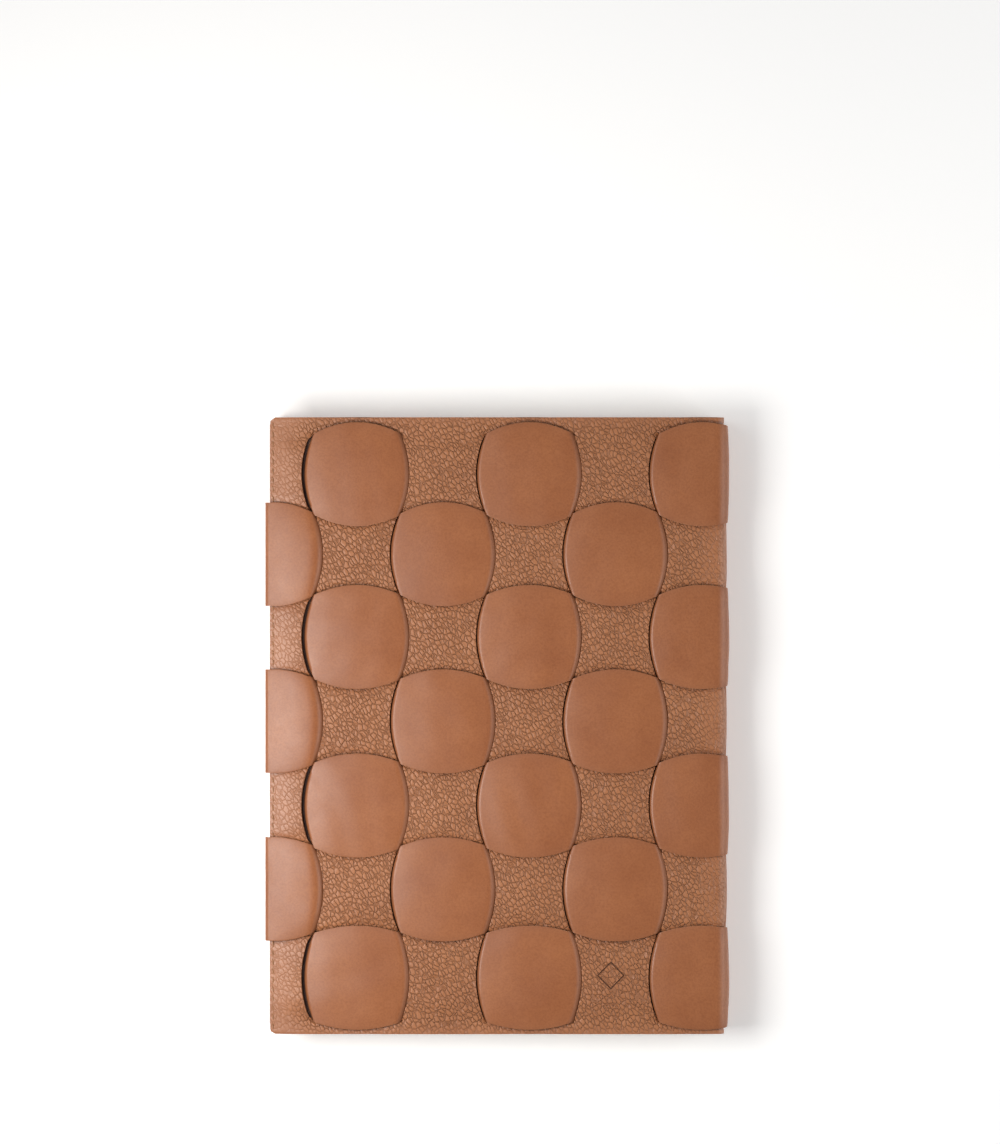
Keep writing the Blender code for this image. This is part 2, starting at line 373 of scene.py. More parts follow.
@dataclass(frozen=True)
class PebbledLeather:
    """Chrome-tanned cowhide, milled till its grain breaks into pebbles with darker creases."""

    name: str = "pebbled_cowhide_milled"
    pebble: str = "#B2744B"
    flank: str = "#AF7048"
    net: str = "#A16A46"
    # Colour of painted shade beside the tiles' edges and at the ends of the slits; the pressed
    # mark's groove takes it too.
    crease: str = "#6B3F27"
    pebble_size: tuple[float, float, float] = (1.3 * MM, 2.15 * MM, 1.3 * MM)
    lean: float = math.radians(-32)
    irregularity: float = 0.75
    wander: float = 1.2 * MM  # how far the rows of pebbles stray
    wander_reach: float = 5 * MM
    fold_size: tuple[float, float, float] = (1.7 * MM, 8 * MM, 1.7 * MM)
    mottle: float = 16 * MM
    grain_depth: float = 0.38 * MM
    mark_place: tuple[float, float] | None = None
    mark_reach: float = 4.6 * MM
    mark_groove: float = 0.42 * MM

    def grain(
        self, tree: bpy.types.NodeTree, place: bpy.types.NodeSocket
    ) -> tuple[bpy.types.Node, bpy.types.NodeSocket, bpy.types.Node]:
        """The pebbles, and the folds drawn into the hide beside the tiles.

        Args:
            tree: Node tree.
            place: Object coordinates.

        Returns:
            The creases between pebbles, a tone for each pebble, and the relief.
        """
        turned = add_node(tree, "Mapping", {"Vector": place, "Rotation": (0, 0, self.lean)})
        wander = add_node(
            tree, "TexNoise", {"Vector": turned, "Scale": 1 / self.wander_reach, "Detail": 2}
        )
        drift = add_node(
            tree, "VectorMath", {0: wander.outputs["Color"], 1: (-0.5,) * 3}, operation="ADD"
        )
        bent = add_node(
            tree, "VectorMath", {0: drift, 1: (self.wander,) * 3, 2: turned},
            operation="MULTIPLY_ADD",
        )
        scaled = add_node(tree, "Mapping", {"Vector": bent, "Scale": per_size(self.pebble_size)})
        pattern = {"Vector": scaled, "Scale": 1.0, "Randomness": self.irregularity}
        cell = add_node(tree, "TexVoronoi", pattern, feature="F1").outputs["Color"]
        edge = add_node(tree, "TexVoronoi", pattern, feature="DISTANCE_TO_EDGE")
        away = edge.outputs["Distance"]
        net = add_node(
            tree, "MapRange", {"Value": away, "From Max": 0.13, "To Min": 1.0, "To Max": 0.0},
            interpolation_type="SMOOTHSTEP",
        )
        swell = add_node(tree, "MapRange", {"Value": away, "From Max": 0.5, "To Max": 0.4})
        domes = add_node(tree, "Math", {0: net, 1: -0.8, 2: swell}, operation="MULTIPLY_ADD")
        pores = add_node(tree, "TexNoise", {"Vector": scaled, "Scale": 1.7, "Detail": 3})
        pebbled = add_node(tree, "Math", {0: pores, 1: 0.12, 2: domes}, operation="MULTIPLY_ADD")
        drawn = add_node(tree, "Mapping", {"Vector": bent, "Scale": per_size(self.fold_size)})
        folds = add_node(tree, "TexNoise", {"Vector": drawn, "Scale": 1, "Detail": 2})
        pucker = add_node(tree, "Attribute", attribute_name="pucker").outputs["Fac"]
        pull = add_node(tree, "Math", {0: folds, 1: pucker}, operation="MULTIPLY")
        relief = add_node(tree, "Math", {0: pull, 1: 1.1, 2: pebbled}, operation="MULTIPLY_ADD")
        return net, cell, relief

    def build(self) -> bpy.types.Material:
        """Builds the material.

        Returns:
            The material, which reads the point attributes "smoothing" (grain worn flat),
            "pucker" (drawn folds beside the tiles) and "crease" (painted shade beside the
            tiles and at the slits' ends).
        """
        material, shader = new_finish(
            self.name, {"IOR": 1.48, "Metallic": 0.0, "Coat Roughness": 0.45}
        )
        tree = material.node_tree
        place = add_node(tree, "TexCoord").outputs["Object"]
        net, cell, height = self.grain(tree, place)
        smoothing = add_node(tree, "Attribute", attribute_name="smoothing").outputs["Fac"]
        keep = add_node(tree, "Math", {0: 1.0, 1: smoothing}, operation="SUBTRACT")
        kept = add_node(tree, "MapRange", {"Value": keep, "To Min": 0.25})
        tone = add_node(
            tree, "ValToRGB", {0: net}, {0.0: self.pebble, 0.55: self.flank, 1.0: self.net}
        )
        colour = add_node(
            tree, "Mix", {0: kept, 6: linear(self.flank), 7: tone}, data_type="RGBA"
        )
        tint = add_node(tree, "MapRange", {"Value": cell, "To Min": 0.96, "To Max": 1.02})
        mottle = add_node(
            tree, "TexNoise", {"Vector": place, "Scale": 1 / self.mottle, "Detail": 4}
        )
        shade = add_node(tree, "ValToRGB", {0: mottle}, {0.3: "#EFEBE8", 0.7: "#FFFFFF"})
        for layer in (tint, shade):
            colour = add_node(
                tree, "Mix", {0: 1.0, 6: colour, 7: layer}, data_type="RGBA", blend_type="MULTIPLY"
            )
        # Painted shade: the panel's crease attribute darkens the colour beside the tiles and at the
        # slits' ends; the pressed mark's groove is darkened the same way.
        darkened = [add_node(tree, "Attribute", attribute_name="crease").outputs["Fac"]]
        if self.mark_place:
            mark = self.mark(tree, place)
            darkened.append(mark)
            height = add_node(
                tree, "Math", {0: mark, 1: -2.2, 2: height}, operation="MULTIPLY_ADD"
            )
        for share in darkened:
            colour = add_node(
                tree, "Mix", {0: share, 6: colour, 7: linear(self.crease)}, data_type="RGBA"
            )
        rough = add_node(tree, "MapRange", {"Value": net, "To Min": 0.47, "To Max": 0.55})
        worn = add_node(
            tree, "Math", {0: smoothing, 1: -0.08, 2: rough}, operation="MULTIPLY_ADD"
        )
        polish = add_node(tree, "MapRange", {"Value": smoothing, "To Min": 0.12, "To Max": 0.55})
        bump = add_node(
            tree, "Bump", {"Height": height, "Strength": kept, "Distance": self.grain_depth}
        )
        feed(
            shader,
            {"Base Color": colour, "Roughness": worn, "Coat Weight": polish, "Normal": bump},
        )
        return material

    def mark(self, tree: bpy.types.NodeTree, place: bpy.types.NodeSocket) -> bpy.types.Node:
        """A pressed outline of a plain lozenge.

        Args:
            tree: Node tree.
            place: Object coordinates.

        Returns:
            A mask, 1 in the groove.
        """
        x, y = self.mark_place
        centred = add_node(tree, "VectorMath", {0: place, 1: (-x, -y, 0)}, operation="ADD")
        sized = add_node(tree, "VectorMath", {0: centred}, operation="ABSOLUTE")
        x_off, y_off, _ = add_node(tree, "SeparateXYZ", {0: sized}).outputs
        reach = add_node(tree, "Math", {0: x_off, 1: y_off}, operation="ADD")
        off = add_node(tree, "Math", {0: reach, 1: self.mark_reach}, operation="SUBTRACT")
        near = add_node(tree, "Math", {0: off}, operation="ABSOLUTE")
        return add_node(
            tree, "MapRange",
            {"Value": near, "From Max": self.mark_groove, "To Min": 1, "To Max": 0},
            interpolation_type="SMOOTHSTEP",
        )


@dataclass(frozen=True)
class SmoothLeather:
    """Plated smooth calf: an even, slightly waxy face with fine pores and a soft sheen."""

    name: str = "smooth_calf_plated"
    light: str = "#AA6A41"
    dark: str = "#9C5D37"
    # Colour of the strip's worn edges, and of painted shade where the strip dives into a slit.
    worn: str = "#8A5330"
    # Painted shade where the strip lies in the dark of a slit.
    recess: str = "#43261A"
    cloud: float = 14 * MM
    crease: float = 3.2 * MM
    pore: float = 0.7 * MM  # real pores are finer, and wouldn't show
    depth: float = 0.035 * MM
    roughness: tuple[float, float] = (0.37, 0.44)

    def build(self) -> bpy.types.Material:
        """Builds the material.

        Returns:
            The material, which reads the point attributes "smoothing" (worn edges, with painted
            shade where the strip dives) and "recess" (painted shade where the strip lies in a
            slit).
        """
        material, shader = new_finish(
            self.name,
            {"IOR": 1.48, "Metallic": 0.0, "Coat Weight": 0.12, "Coat Roughness": 0.35},
        )
        tree = material.node_tree
        place = add_node(tree, "TexCoord").outputs["Object"]
        cloud = add_node(tree, "TexNoise", {"Vector": place, "Scale": 1 / self.cloud, "Detail": 4})
        fine = add_node(
            tree, "TexNoise",
            {"Vector": place, "Scale": 1 / self.pore, "Detail": 4, "Roughness": 0.6},
        )
        crease = add_node(
            tree, "TexNoise",
            {"Vector": place, "Scale": 1 / self.crease, "Detail": 5, "Distortion": 1.2},
        )
        base = add_node(tree, "ValToRGB", {0: cloud}, {0.25: self.dark, 0.75: self.light})
        speck = add_node(tree, "ValToRGB", {0: fine}, {0.3: "#E4DDD8", 0.6: "#FFFFFF"})
        colour = add_node(
            tree, "Mix", {0: 0.8, 6: base, 7: speck}, data_type="RGBA", blend_type="MULTIPLY"
        )
        # The smoothing attribute holds worn edges together with painted shade where the strip
        # dives; the recess attribute holds painted shade in the slits.
        wear_and_dive_shade = add_node(tree, "Attribute", attribute_name="smoothing").outputs["Fac"]
        sunk = add_node(tree, "Attribute", attribute_name="recess").outputs["Fac"]
        for share, code in ((wear_and_dive_shade, self.worn), (sunk, self.recess)):
            colour = add_node(
                tree, "Mix", {0: share, 6: colour, 7: linear(code)}, data_type="RGBA"
            )
        rough = add_node(
            tree, "MapRange",
            {"Value": crease, "From Min": 0.3, "From Max": 0.7,
             "To Min": self.roughness[0], "To Max": self.roughness[1]},
        )
        dull = add_node(tree, "Math", {0: wear_and_dive_shade, 1: 0.35, 2: rough}, operation="MULTIPLY_ADD")
        relief = add_node(tree, "Math", {0: crease, 1: 0.7, 2: fine}, operation="MULTIPLY_ADD")
        bump = add_node(tree, "Bump", {"Height": relief, "Strength": 0.6, "Distance": self.depth})
        feed(shader, {"Base Color": colour, "Roughness": dull, "Normal": bump})
        return material


@dataclass(frozen=True)
class NoisyFinish:
    """A matt surface with two tones of fibre and a fine nap, such as suede, card or a cut edge."""

    name: str
    light: str
    dark: str
    fibre: tuple[float, float, float]
    depth: float
    roughness: float = 0.9
    sheen: float = 0.0
    ior: float = 1.45
    cloud: float = 20 * MM

    def build(self) -> bpy.types.Material:
        """Builds the material.

        Returns:
            The material.
        """
        material, shader = new_finish(
            self.name,
            {"IOR": self.ior, "Roughness": self.roughness, "Metallic": 0.0,
             "Sheen Weight": self.sheen},
        )
        tree = material.node_tree
        place = add_node(tree, "TexCoord").outputs["Object"]
        scaled = add_node(tree, "Mapping", {"Vector": place, "Scale": per_size(self.fibre)})
        fibres = add_node(tree, "TexNoise", {"Vector": scaled, "Scale": 1, "Detail": 4})
        cloud = add_node(tree, "TexNoise", {"Vector": place, "Scale": 1 / self.cloud, "Detail": 3})
        both = add_node(tree, "Math", {0: cloud, 1: 0.6, 2: fibres}, operation="MULTIPLY_ADD")
        tone = add_node(tree, "ValToRGB", {0: both}, {0.55: self.dark, 1.0: self.light})
        bump = add_node(tree, "Bump", {"Height": fibres, "Strength": 0.7, "Distance": self.depth})
        feed(shader, {"Base Color": tone, "Normal": bump})
        return material


@dataclass(frozen=True)
class RuledPaper:
    """Uncoated cream book paper: matt, ruled in pale grey on the faces where the pages open."""

    opening: float
    name: str = "book_paper_uncoated"
    light: str = "#F3EEDF"
    dark: str = "#DCD3BD"
    ruling: str = "#B9BDC2"
    spacing: float = 7.0 * MM
    line: float = 0.35 * MM
    first_line: float = 86 * MM
    face_depth: float = 0.25 * MM
    sheet: float = 0.3 * MM  # a real sheet is 0.1 mm, which wouldn't show
    streak: float = 40 * MM

    def build(self) -> bpy.types.Material:
        """Builds the material.

        Returns:
            The material.
        """
        material, shader = new_finish(self.name, {"IOR": 1.5, "Roughness": 0.85, "Metallic": 0.0})
        tree = material.node_tree
        place = add_node(tree, "TexCoord").outputs["Object"]
        _, up, height = add_node(tree, "SeparateXYZ", {0: place}).outputs
        streak = per_size((self.streak, self.streak, self.sheet))
        layers = add_node(tree, "Mapping", {"Vector": place, "Scale": streak})
        edges = add_node(tree, "TexNoise", {"Vector": layers, "Scale": 1, "Detail": 1})
        tone = add_node(tree, "ValToRGB", {0: edges}, {0.3: self.dark, 0.6: self.light})
        level = add_node(tree, "Math", {0: height, 1: self.opening}, operation="SUBTRACT")
        away = add_node(tree, "Math", {0: level}, operation="ABSOLUTE")
        inside = add_node(tree, "Math", {0: away, 1: self.face_depth}, operation="LESS_THAN")
        rows = add_node(tree, "Math", {0: up, 1: self.spacing / 2}, operation="PINGPONG")
        ruled = add_node(tree, "Math", {0: rows, 1: self.line / 2}, operation="LESS_THAN")
        below = add_node(tree, "Math", {0: up, 1: self.first_line}, operation="LESS_THAN")
        lines = add_node(tree, "Math", {0: below, 1: ruled}, operation="MULTIPLY")
        mask = add_node(tree, "Math", {0: inside, 1: lines}, operation="MULTIPLY")
        colour = tone
        for share, code in ((inside, self.light), (mask, self.ruling)):
            colour = add_node(
                tree, "Mix", {0: share, 6: colour, 7: linear(code)}, data_type="RGBA"
            )
        feed(shader, {"Base Color": colour})
        return material


# ---------------------------------------------------------------- the cover's layout


@dataclass(frozen=True)
class Layout:
    """Sizes and places that the pieces share, read from the frame."""

    fold_x: float
    front_z: float
    back_z: float
    cover_end: float
    half_height: float
    lanes: tuple[float, ...]
    droop_reach: float = 22 * MM
    full_droop: float = 1.3 * MM

    @classmethod
    def read(cls) -> Layout:
        """Reads the layout.

        Returns:
            The layout of this frame.
        """
        place = {joint["name"]: joint["pos_m"] for joint in frame["joints"]}
        low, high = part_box("front_panel")
        boxes = [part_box(f"strip_{row}_front") for row in range(1, 8)]
        even = [(lane_low.y + lane_high.y) / 2 for lane_low, lane_high in boxes]
        shift = 1.75 * MM  # how much nearer the head the middle strip sits than even spacing
        lanes = [lane + shift * (1 - (lane / even[0]) ** 4) for lane in even]
        fold_x = place["front_fold"][0]
        return cls(
            fold_x=fold_x,
            front_z=place["front_fold"][2],
            back_z=place["back_fold"][2],
            cover_end=fold_x - low.x,
            half_height=high.y,
            lanes=tuple(lanes),
        )

    @property
    def middle_z(self) -> float:
        """Height of the plane that mirrors the front cover to the back one."""
        return (self.front_z + self.back_z) / 2

    def droop(self, across: Array) -> Array:
        """How far the leather bends in towards the lining near the fore-edge.

        Args:
            across: Distances from the fold.

        Returns:
            Depths, from 0 to the full droop at the edge.
        """
        share = np.clip((across - self.cover_end + self.droop_reach) / self.droop_reach, 0, 1)
        return self.full_droop * share * share


@dataclass(frozen=True)
class FoldPath:
    """The way one layer runs: flat over a cover, round its fold, and down to mid-spine."""

    layout: Layout
    side: Side
    depth: float
    radius: float

    @property
    def spine_middle(self) -> float:
        """Distance across at which the path reaches the middle of the spine."""
        down = self.layout.front_z - self.depth - self.layout.middle_z - self.radius
        return self.radius - self.radius * math.pi / 2 - down

    def place(self, across: Array, along: Array, height: Array) -> Array:
        """World places of points of the layer.

        Args:
            across: Distances from the layer's own corner, towards the fore-edge.
            along: Distances along the fold.
            height: Distances out of the layer.

        Returns:
            An array of points, with one more dimension than across.
        """
        across, along, height = np.broadcast_arrays(across, along, height)
        corner_x = self.layout.fold_x - self.depth
        corner_z = self.layout.front_z - self.depth
        turn = np.clip((self.radius - across) / self.radius, 0, math.pi / 2)
        flat = np.maximum(across - self.radius, 0)
        down = np.maximum(self.radius - self.radius * math.pi / 2 - across, 0)
        reach = self.radius + height
        x = corner_x - self.radius - flat + reach * np.sin(turn)
        z = corner_z - self.radius - down + reach * np.cos(turn)
        if self.side is Side.BACK:
            z = 2 * self.layout.middle_z - z
        return np.stack([x, along, z], axis=-1)

    def bend(self, piece: bpy.types.Object, reach: float = 3.5 * MM) -> None:
        """Applies a piece's place, turn and scale to its mesh.

        Args:
            piece: Finished piece that crosses the fold.
            reach: Not used.
        """
        sense = self.side.value
        corner = Vector((self.layout.fold_x - self.depth, 0, 0))
        fold_z = self.layout.front_z if self.side is Side.FRONT else self.layout.back_z
        corner.z = fold_z - sense * self.depth
        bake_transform(piece)


@dataclass(frozen=True)
class Weave:
    """Where the slits run, and which stretches of each strip lie outside."""

    layout: Layout
    side: Side
    spine_middle: float
    fore_margin: float = 15.5 * MM
    spine_margin: float = 22.6 * MM
    slits_across: int = 5
    web: float = 0.12 * MM
    strip_ease: float = 0.25 * MM
    tile_half: float = 18.25 * MM
    flare: float = 0.55 * MM  # how much wider a tile's corners are than its slit
    bow: float = 3.1 * MM

    @property
    def lines(self) -> tuple[float, ...]:
        """Slit columns from mid-spine to the fore-edge, then the one past the edge.

        Returns:
            Their places across the cover.
        """
        last = self.layout.cover_end - self.fore_margin
        pitch = (last - self.spine_margin) / (self.slits_across - 1)
        inner = [self.spine_margin + i * pitch for i in range(self.slits_across)]
        return (self.spine_middle, *inner, 2 * self.layout.cover_end - last)

    def slit_half(self, row: int) -> float:
        """Half length of a row's slits, which stop just short of the next row's.

        Args:
            row: Strip.

        Returns:
            Half of the length.
        """
        lanes = self.layout.lanes
        gaps = [abs(lane - lanes[row]) for lane in lanes if lane != lanes[row]]
        return min(gaps) / 2 - self.web

    def strip_half(self, row: int) -> float:
        """Half width of a strip where it goes through its slits."""
        return self.slit_half(row) - self.strip_ease

    def half_width(self, row: int, share: Array) -> Array:
        """Half width of a tile, at shares of its length."""
        corner = self.strip_half(row) + self.flare * smooth(share * (1 - share), 0, 0.018)
        return corner + (self.tile_half - corner) * 4 * share * (1 - share)

    def outside(self, row: int, span: int) -> bool:
        """Whether a strip lies outside the panel over a span. Row 0 is at the head."""
        even = (row + span) % 2 == 0
        return even if self.side is Side.FRONT else not even

    def bow_sign(self, row: int, slit: int) -> int:
        """Way that a slit bows: away from its tile."""
        return -1 if self.outside(row, slit) else 1

    def slit_line(self, row: int, slit: int, share: Array) -> Array:
        """Place of a slit across the cover.

        Args:
            row: Strip.
            slit: Slit column.
            share: Places along the slit, from -1 to 1.

        Returns:
            Distances across.
        """
        curve = self.bow * self.bow_sign(row, slit) * np.clip(1 - share * share, 0, 1)
        return self.lines[slit] + curve


# ---------------------------------------------------------------- the pieces


@dataclass(frozen=True)
class WovenPanel:
    """One half of the pebbled panel, with its curved slits open."""

    weave: Weave
    path: FoldPath
    thickness: float = 1.0 * MM
    edge_soften: float = 0.22 * MM
    corner: float = 1.8 * MM
    tile_gap: float = 0.95 * MM  # panel's edge under a tile, back from the slit line
    tight_gap: float = 0.16 * MM  # edge that a strip dives under, on its spine side
    open_gap: float = 0.62 * MM  # the same on its fore-edge side, where the lacing pulls it open
    wide_gap: float = 1.35 * MM
    tight_lift: float = 0.4 * MM
    trough: float = 0.4 * MM  # how far a tile's edge presses into the hide
    trough_width: float = 1.0 * MM
    painted_shade_width: float = 0.65 * MM
    node_gap: float = 0.6 * MM  # half of the small hole at a slit's end
    node_sink: float = 1.0 * MM
    lift: float = 0.3 * MM
    crown: float = 0.28 * MM

    def rows(self) -> tuple[Array, Array, Array]:
        """Lines along the fold.

        Returns:
            Their places, the strip that each belongs to, and their shares of its slits, which
            pass 1 outside the slits.
        """
        shares = 2 * graded(28 * MM, 0.4 * MM, 1.05 * MM) - 1
        margin = np.linspace(0, 1, 6)
        lanes = self.weave.layout.lanes
        places, owners, within = [], [], []
        for row, lane in reversed(list(enumerate(lanes))):
            places.append(lane + shares * self.weave.slit_half(row))
            owners.append(np.full(len(shares), row))
            within.append(shares)
        edge = self.weave.layout.half_height
        tail = -edge + (places[0][0] + edge) * margin[:-1]
        head = places[-1][-1] + (edge - places[-1][-1]) * margin[1:]
        outer = np.full(len(margin) - 1, 1.5)
        return (
            np.concatenate([tail, *places, head]),
            np.concatenate([outer * 0 + len(lanes) - 1, *owners, outer * 0]).astype(int),
            np.concatenate([-outer, *within, outer]),
        )

    def lip(self, slit: int, side: int, owners: Array, shares: Array) -> Array:
        """One edge of a slit column, along the whole cover.

        Args:
            slit: Slit column.
            side: -1 for the edge nearer the fold, 1 for the one nearer the fore-edge.
            owners: Strip of each line.
            shares: Share of each line along its slit.

        Returns:
            Distances across.
        """
        weave = self.weave
        signs = np.array([weave.bow_sign(row, slit) for row in range(len(weave.layout.lanes))])
        sign = signs[owners]
        bow = weave.bow * sign * np.clip(1 - shares * shares, 0, 1)
        opening = smooth(1 - np.abs(shares), 0, 0.18)
        pulled = self.wide_gap if slit == weave.slits_across else self.open_gap
        lip_gap = np.where(sign > 0, pulled, self.tight_gap)
        # The strip's tile lies towards the fold where the slit bows to the fore-edge.
        gap = np.where(sign == side, lip_gap, self.tile_gap)
        gap = self.node_gap + (gap - self.node_gap) * opening
        if slit == 0:
            gap = np.where(np.abs(shares) < 1, gap, 0)
        return weave.lines[slit] + bow + side * gap

    def from_tiles(self, span: int, share: Array, along: Array) -> Array:
        """Distance along the fold from the nearest tile's edge.

        Args:
            span: Span between two slit columns.
            share: Shares across the span, for each column.
            along: Places of the lines along the fold.

        Returns:
            Distances in lines and columns.
        """
        weave = self.weave
        part = share * (0.5 if span == weave.slits_across else 1)
        nearest = np.full((len(along), len(share)), 1.0)
        for row, lane in enumerate(weave.layout.lanes):
            if weave.outside(row, span):
                off = np.abs(along - lane)[:, None] - weave.half_width(row, part)[None, :]
                nearest = np.minimum(nearest, np.abs(off))
        return nearest

    def heights(self, span: int, share: Array, reach: Array, owners: Array, shares: Array) -> Array:
        """How far the hide lifts between the tiles, and sinks under them.

        Args:
            span: Span between two slit columns.
            share: Shares across the span, for each column.
            reach: Width of the span, for each line.
            owners: Strip of each line.
            shares: Share of each line along its slit.

        Returns:
            Heights in lines and columns.
        """
        weave = self.weave
        rows = range(len(weave.layout.lanes))
        tile = np.array([weave.outside(row, span) for row in rows])[owners][:, None]
        swelling = smooth(1 - np.abs(shares), 0.06, 0.5)[:, None]
        near = share[None, :] * reach[:, None]
        far = (1 - share)[None, :] * reach[:, None]
        middle = 1 - (2 * share - 1) ** 2
        last = span == weave.slits_across
        if last:
            far = far + 1
            middle = 1 - smooth(share, 0.1, 1)
        over = self.lift * (middle[None, :] * 0.25 + 0.75) + self.crown * middle[None, :]
        if last:
            over = (self.lift + self.crown) * middle[None, :]
        over = over + self.tight_lift * np.exp(-near / (3 * MM))
        under = -0.1 * MM - 0.4 * MM * (np.exp(-near / (1.8 * MM)) + np.exp(-far / (1.8 * MM)))
        sunk = np.exp(-near / (1.0 * MM)) + (0 if last else np.exp(-far / (1.0 * MM)))
        sunk = sunk * smooth(np.abs(shares), 0.86, 1)[:, None] * (np.abs(shares) <= 1)[:, None]
        return swelling * np.where(tile, under, over) - self.node_sink * sunk

    def smoothing(self, across: Array, along: Array) -> Array:
        """How far the grain is flattened by handling, near the fore-edge, the fold and the ends.

        Args:
            across: Places across the cover.
            along: Places along the fold.

        Returns:
            Shares from 0 to 1.
        """
        edge = self.weave.layout.cover_end
        near_edge = 1 - smooth(edge - across, 2 * MM, 17 * MM)
        near_fold = 1 - smooth(np.abs(across), 1 * MM, 12 * MM)
        near_ends = 1 - smooth(self.weave.layout.half_height - np.abs(along), 0, 4 * MM)
        return np.clip(0.8 * near_edge + 0.55 * near_fold + 0.5 * near_ends, 0, 1)

    def painted_shade(self, gap: Array, shares: Array) -> Array:
        """Painted shade on the hide beside the tiles' edges and at the ends of the slits.

        Args:
            gap: Distances along the fold from the nearest tile's edge.
            shares: Share of each line along its slit.

        Returns:
            Shares of the painted shade's colour.
        """
        beside = 0.75 * np.exp(-((gap / self.painted_shade_width) ** 2))
        ends = smooth(np.abs(shares), 0.97, 1)[:, None] * (np.abs(shares) <= 1)[:, None]
        return np.maximum(beside, 0.85 * ends * np.exp(-gap / (1.5 * MM)))

    def build(self, hide: bpy.types.Material, edge: bpy.types.Material) -> bpy.types.Object:
        """Builds the half panel.

        Args:
            hide: Finish of the grain side.
            edge: Finish of its cut edges.

        Returns:
            The piece.
        """
        weave = self.weave
        along, owners, shares = self.rows()
        across, lifts, gaps, slit_cells = [], [], [], []
        spans = weave.slits_across + 1
        for span in range(spans):
            steps = graded(30 * MM if span < spans - 1 else 16 * MM, 0.45 * MM, 1.5 * MM)
            low = self.lip(span, 1, owners, shares)
            if span < spans - 1:
                high = self.lip(span + 1, -1, owners, shares)
            else:
                square = weave.layout.half_height - self.corner
                into = np.clip(np.abs(along) - square, 0, self.corner)
                high = weave.layout.cover_end - self.corner + np.sqrt(self.corner**2 - into**2)
            across.append(low[:, None] + (high - low)[:, None] * steps[None, :])
            gap = self.from_tiles(span, steps, along)
            gaps.append(gap)
            trough = self.trough * np.exp(-((gap / self.trough_width) ** 2))
            lifts.append(self.heights(span, steps, high - low, owners, shares) - trough)
            slit_cells.append(sum(part.shape[1] for part in across) - 1)
        across, lifts = np.concatenate(across, axis=1), np.concatenate(lifts, axis=1)
        lines = np.broadcast_to(along[:, None], across.shape)
        lifts = lifts + 0.05 * MM * ripple(across, lines, 28 * MM, 1)
        lifts = lifts - weave.layout.droop(across)
        panel = grid_piece(f"{weave.side.word}_panel_hide", self.path.place(across, lines, lifts))
        paint(panel, "smoothing", self.smoothing(across, lines))
        gap = np.concatenate(gaps, axis=1)
        paint(panel, "pucker", 1 - smooth(gap, 0, 6 * MM))
        # Painted shade beside the tiles' edges and at the slits' ends.
        paint(panel, "crease", self.painted_shade(gap, shares))
        cells = np.zeros((across.shape[0] - 1, across.shape[1] - 1), bool)
        inside = np.abs(shares) <= 1
        inside = inside[:-1] & inside[1:] & (owners[:-1] == owners[1:])
        for column in slit_cells[:-1]:
            cells[:, column] = inside
        drop_cells(panel, cells)
        thicken(panel, hide, edge, self.thickness, self.edge_soften)
        self.path.bend(panel)
        nodes = [f"{weave.side.word}_panel"]
        if weave.side is Side.FRONT:
            nodes.append("spine_panel")
        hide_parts(*nodes)
        return panel


